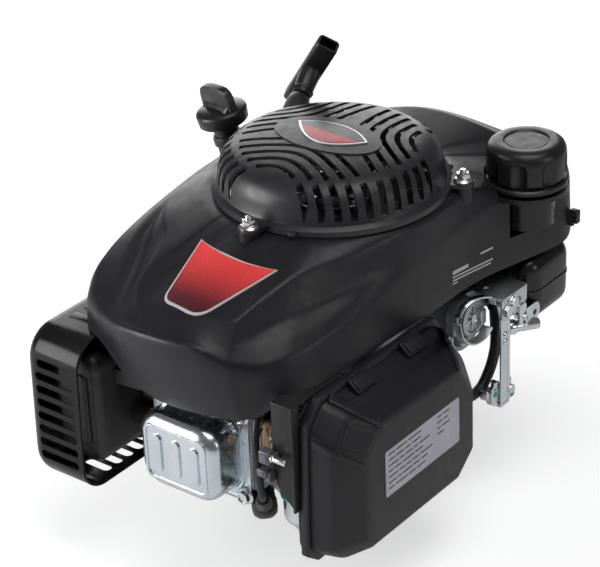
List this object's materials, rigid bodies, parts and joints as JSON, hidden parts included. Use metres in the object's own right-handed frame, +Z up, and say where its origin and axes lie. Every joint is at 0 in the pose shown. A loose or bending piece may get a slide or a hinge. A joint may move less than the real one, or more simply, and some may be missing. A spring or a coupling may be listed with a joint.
{
  "type": "small gasoline engine",
  "caption": "Vertical-shaft small gasoline engine with recoil starter, blower housing, overhead valves, muffler guard, box air filter and fuel tank.",
  "frame": {"origin": "centre of the output shaft's end face", "axes": "+Z up along the crankshaft, away from the output end; -Y towards the cylinder head; +X towards the carburettor and air filter; +Y towards the fuel tank"},
  "size_m": [0.3089, 0.408, 0.3752],
  "materials": {
    "cast_aluminium": "sand cast, satin",
    "gasket": "composite gasket sheet, matt",
    "steel": "machined",
    "cast_iron": "as cast",
    "zinc": "bright zinc plate, slightly blue",
    "ceramic": "glazed ceramic",
    "rubber": "matt black moulded rubber",
    "black_plastic": "fine textured satin black moulding",
    "black_paint": "high temperature black paint",
    "gloss_black": "gloss black",
    "red_enamel": "red plate with a dark shade and a silver border",
    "cord": "braided cord",
    "foam": "oiled foam"
  },
  "bodies": {
    "root": {"sump": "cast_aluminium", "crankcase": "cast_aluminium", "head_gasket": "gasket", "cylinder_head": "cast_aluminium", "piston": "cast_aluminium", "valve_spring_intake": "steel", "valve_spring_exhaust": "steel", "rocker_shaft": "steel", "valve_cover": "zinc", "valve_cover_bolt_1": "zinc", "valve_cover_bolt_2": "zinc", "valve_cover_bolt_3": "zinc", "valve_cover_bolt_4": "zinc", "spark_plug": "ceramic", "spark_plug_boot": "rubber", "ignition_lead": "rubber", "ignition_coil": "black_plastic", "muffler": "black_paint", "muffler_guard": "gloss_black", "blower_housing": "black_plastic", "recoil_cover": "black_plastic", "cover_nut_1": "zinc", "cover_nut_2": "zinc", "cover_nut_3": "zinc", "dome_badge": "red_enamel", "front_badge": "red_enamel", "recoil_spring": "steel", "starter_rope": "cord", "fuel_tank": "black_plastic", "fuel_hose": "rubber", "intake_insulator": "black_plastic", "carburettor": "cast_aluminium", "float_bowl": "zinc", "bowl_bolt": "zinc", "air_filter_base": "gloss_black", "air_filter_element": "foam", "oil_fill_tube": "black_plastic", "control_bracket": "zinc"},
    "crank": {"crankshaft": "steel", "crank_gear": "steel", "flywheel": "cast_iron", "starter_cup": "zinc", "flywheel_nut": "zinc"},
    "cam": {"camshaft": "cast_iron"},
    "rod": {"connecting_rod": "cast_aluminium", "wrist_pin": "steel"},
    "intake_valve": {"intake_valve": "steel"},
    "exhaust_valve": {"exhaust_valve": "steel"},
    "intake_rocker": {"rocker_intake": "steel"},
    "exhaust_rocker": {"rocker_exhaust": "steel"},
    "intake_pushrod": {"pushrod_intake": "steel"},
    "exhaust_pushrod": {"pushrod_exhaust": "steel"},
    "pulley": {"starter_pulley": "black_plastic"},
    "handle": {"starter_handle": "black_plastic"},
    "fuel_cap": {"fuel_cap": "black_plastic"},
    "dipstick": {"dipstick": "black_plastic"},
    "filter_cover": {"air_filter_cover": "black_plastic"},
    "throttle": {"throttle_valve": "zinc"},
    "brake": {"brake_lever": "zinc"},
    "governor": {"governor_lever": "zinc"}
  },
  "joints": [
    {"name": "crank_spin", "type": "hinge", "parent": "root", "child": "crank", "pos_m": [0, 0, 0.138], "axis": [0, 0, 1], "continuous": true},
    {"name": "cam_spin", "type": "hinge", "parent": "root", "child": "cam", "pos_m": [-0.05, -0.03317, 0.122], "axis": [0, 0, 1], "continuous": true},
    {"name": "rod_swing", "type": "hinge", "parent": "crank", "child": "rod", "pos_m": [0, -0.0255, 0.138], "axis": [0, 0, 1], "continuous": true},
    {"name": "intake_rocker_tilt", "type": "hinge", "parent": "root", "child": "intake_rocker", "pos_m": [-0.0166, -0.192, 0.154], "axis": [0, 0, 1], "range_deg": [0, 20]},
    {"name": "intake_valve_lift", "type": "slide", "parent": "root", "child": "intake_valve", "axis": [0, 1, 0], "range_m": [0, 0.005], "deforming": ["valve_spring_intake"]},
    {"name": "intake_pushrod_lift", "type": "slide", "parent": "root", "child": "intake_pushrod", "axis": [0.1297, -0.9916, 0], "range_m": [0, 0.0057]},
    {"name": "exhaust_rocker_tilt", "type": "hinge", "parent": "root", "child": "exhaust_rocker", "pos_m": [-0.0166, -0.192, 0.122], "axis": [0, 0, 1], "range_deg": [0, 20]},
    {"name": "exhaust_valve_lift", "type": "slide", "parent": "root", "child": "exhaust_valve", "axis": [0, 1, 0], "range_m": [0, 0.005], "deforming": ["valve_spring_exhaust"]},
    {"name": "exhaust_pushrod_lift", "type": "slide", "parent": "root", "child": "exhaust_pushrod", "axis": [0.1297, -0.9916, 0], "range_m": [0, 0.0057]},
    {"name": "starter_pull", "type": "slide", "parent": "root", "child": "handle", "axis": [-0.2612, 0.8656, 0.4273], "range_m": [0, 0.7]},
    {"name": "pulley_spin", "type": "hinge", "parent": "root", "child": "pulley", "pos_m": [0, 0, 0.305], "axis": [0, 0, 1], "range_deg": [-1254, 0]},
    {"name": "fuel_cap_lift", "type": "slide", "parent": "root", "child": "fuel_cap", "axis": [0, 0, 1], "range_m": [0, 0.06]},
    {"name": "dipstick_lift", "type": "slide", "parent": "root", "child": "dipstick", "axis": [-0.141, -0.1325, 0.9811], "range_m": [0, 0.17]},
    {"name": "filter_cover_hinge", "type": "hinge", "parent": "root", "child": "filter_cover", "pos_m": [0.1, 0, 0.065], "axis": [0, 1, 0], "range_deg": [0, 60]},
    {"name": "throttle_turn", "type": "hinge", "parent": "root", "child": "throttle", "pos_m": [0.079, -0.155, 0.149], "axis": [0, 0, 1], "range_deg": [0, 75]},
    {"name": "brake_swing", "type": "hinge", "parent": "root", "child": "brake", "pos_m": [0.118, 0.074, 0.174], "axis": [1, 0, 0], "range_deg": [-20, 0]},
    {"name": "governor_swing", "type": "hinge", "parent": "root", "child": "governor", "pos_m": [0.096, 0.02, 0.142], "axis": [0, 0, 1], "range_deg": [-12, 0]}
  ],
  "couplings": [
    {"joint": "cam_spin", "follows": "crank_spin", "ratio": -0.5},
    {"joint": "rod_swing", "follows": "crank_spin", "ratio": -1},
    {"joint": "intake_rocker_tilt", "follows": "intake_pushrod_lift", "rad_per_m": 61},
    {"joint": "intake_valve_lift", "follows": "intake_pushrod_lift", "ratio": 0.87},
    {"joint": "exhaust_rocker_tilt", "follows": "exhaust_pushrod_lift", "rad_per_m": 61},
    {"joint": "exhaust_valve_lift", "follows": "exhaust_pushrod_lift", "ratio": 0.87},
    {"joint": "pulley_spin", "follows": "starter_pull", "rad_per_m": -31.25}
  ]
}
